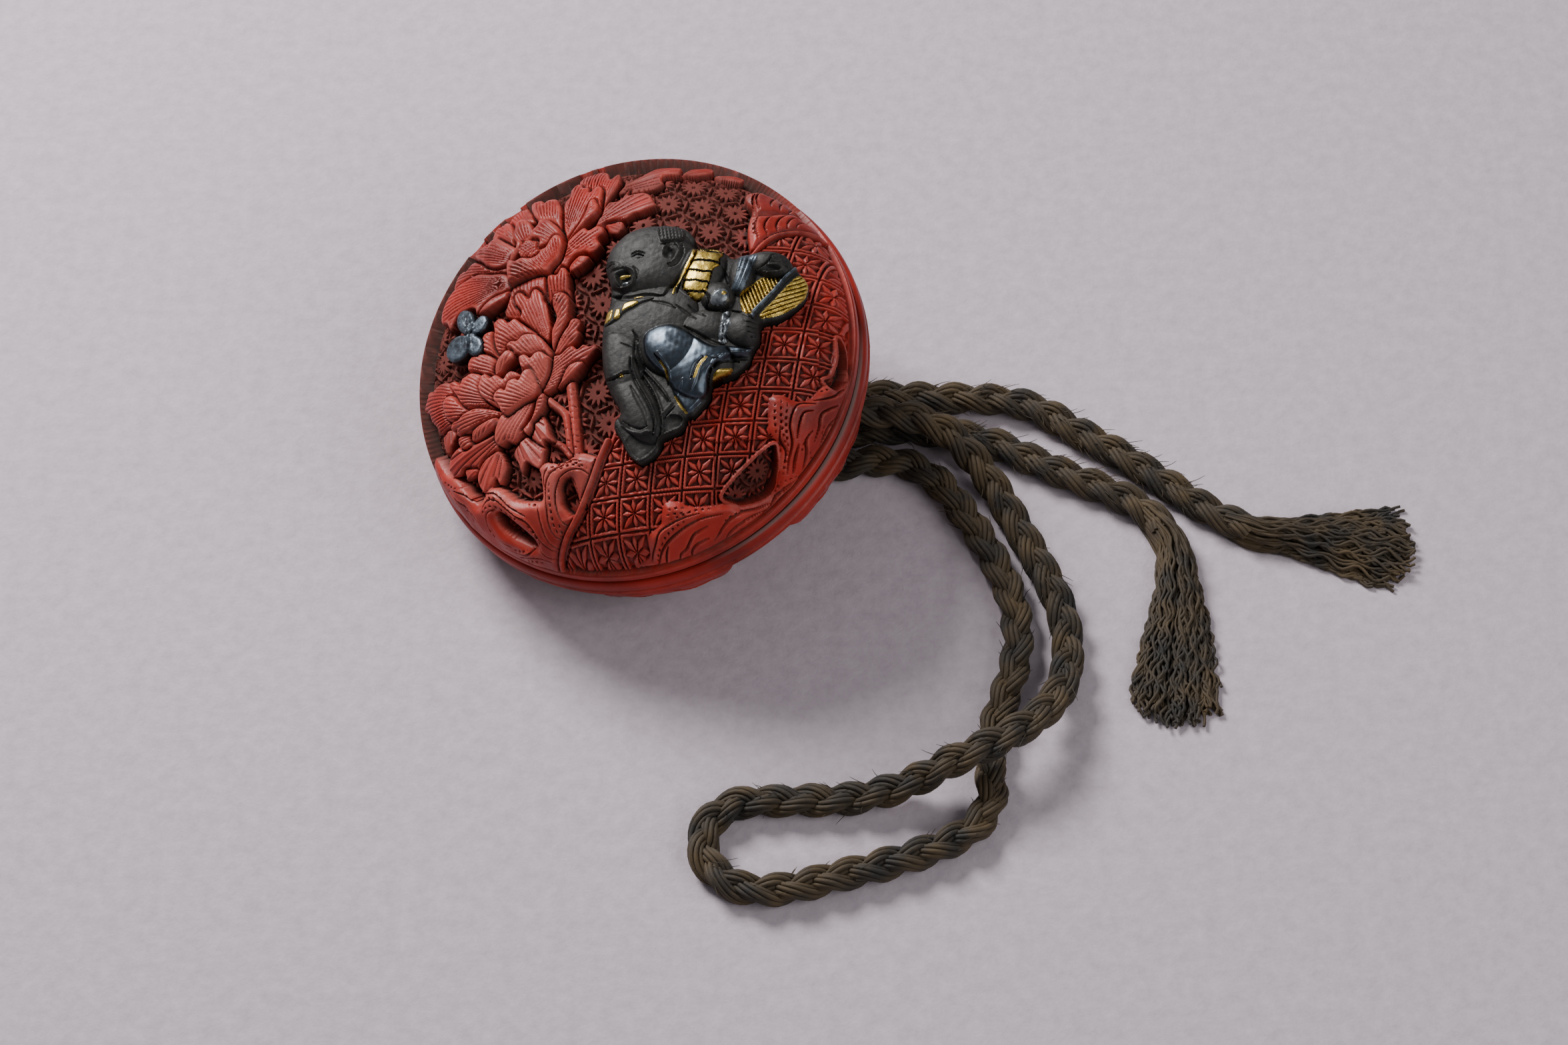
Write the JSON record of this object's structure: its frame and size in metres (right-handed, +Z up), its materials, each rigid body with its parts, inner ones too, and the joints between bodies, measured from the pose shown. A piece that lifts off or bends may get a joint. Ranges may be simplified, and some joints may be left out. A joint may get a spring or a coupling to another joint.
{
  "type": "manju netsuke",
  "caption": "Round carved lacquer toggle of two shallow bowls, with a metal boy and butterfly set into its lid, leaning on its own braided cord with fanned tassels.",
  "frame": {"origin": "middle of the bun's own box, cord left out, at the height of the table that it leans on", "axes": "+Z up from the table, +X towards the side where the cords leave, -Y towards the side where the loop of cord lies; the lid's face leans towards -X"},
  "size_m": [0.0983, 0.0747, 0.0278],
  "materials": {
    "carved_lacquer": "carved red lacquer over a thin wooden bowl, softly polished on the high places, dark and dusty in the hollows",
    "patinated_metal": "dark patinated copper alloy with silver and gold details, worn bright on the robe",
    "blue_grey_metal": "blue-grey patinated alloy, satin",
    "braided_silk": "matte olive brown braid, slightly frayed"
  },
  "bodies": {
    "root": {"netsuke_back": "carved_lacquer", "netsuke_front": "carved_lacquer", "boy_figure": "patinated_metal", "butterfly": "blue_grey_metal", "cord_loop": "braided_silk", "cord_tail_long": "braided_silk", "cord_tail_short": "braided_silk", "cord_tassel_long": "braided_silk", "cord_tassel_short": "braided_silk"}
  },
  "joints": []
}
